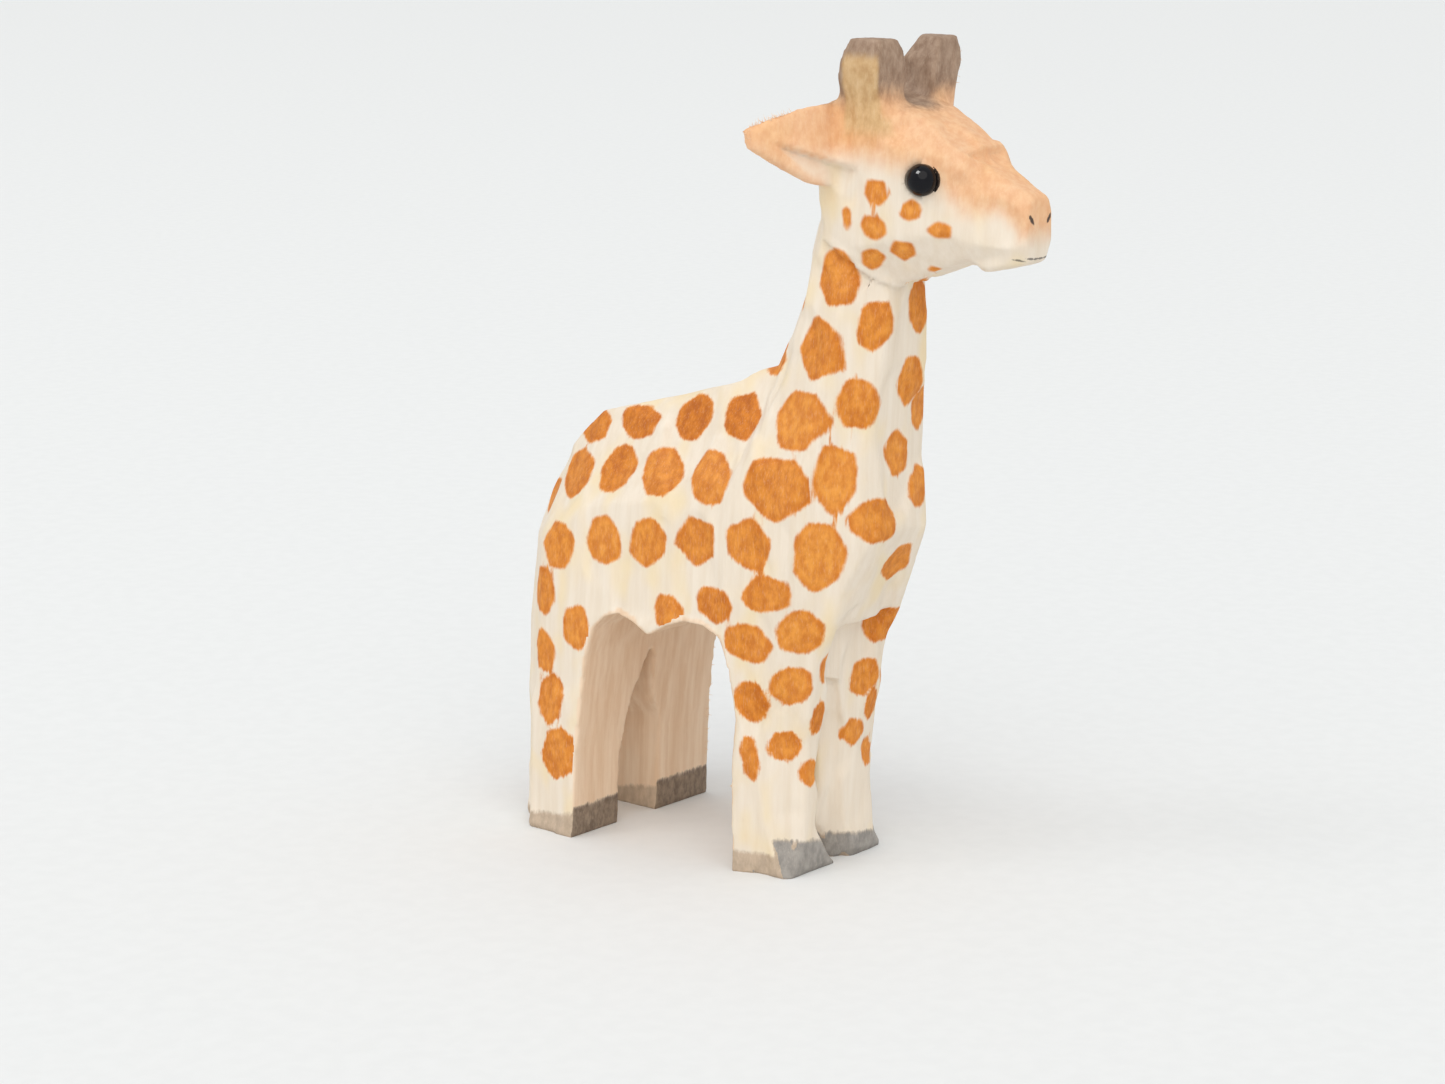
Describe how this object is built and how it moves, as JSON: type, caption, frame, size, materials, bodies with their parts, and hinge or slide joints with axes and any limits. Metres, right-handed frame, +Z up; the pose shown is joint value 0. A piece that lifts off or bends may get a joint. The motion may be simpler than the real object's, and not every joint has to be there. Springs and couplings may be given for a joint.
{
  "type": "carved giraffe figurine",
  "caption": "Small hand-carved wooden giraffe, painted with orange patches, with domed glass eyes; stands on flat hooves.",
  "frame": {"origin": "on the ground under the centre of the bounding box", "axes": "+Z up from the hooves to the horns, the giraffe looks along -Y, its right side is -X"},
  "size_m": [0.024, 0.05, 0.0748],
  "materials": {
    "painted_basswood": "knife-cut basswood with thin cream, orange and grey paint washes, matte",
    "eye_glass": "opaque black glass bead, glossy",
    "stem_wire": "plain drawn wire",
    "clear_glue": "cured clear glue darkened by the wood and bead around it"
  },
  "bodies": {
    "root": {"carved_figure": "painted_basswood", "right_eye": "eye_glass", "left_eye": "eye_glass", "right_eye_glue": "clear_glue", "left_eye_glue": "clear_glue", "right_eye_stem": "stem_wire", "left_eye_stem": "stem_wire"}
  },
  "joints": []
}
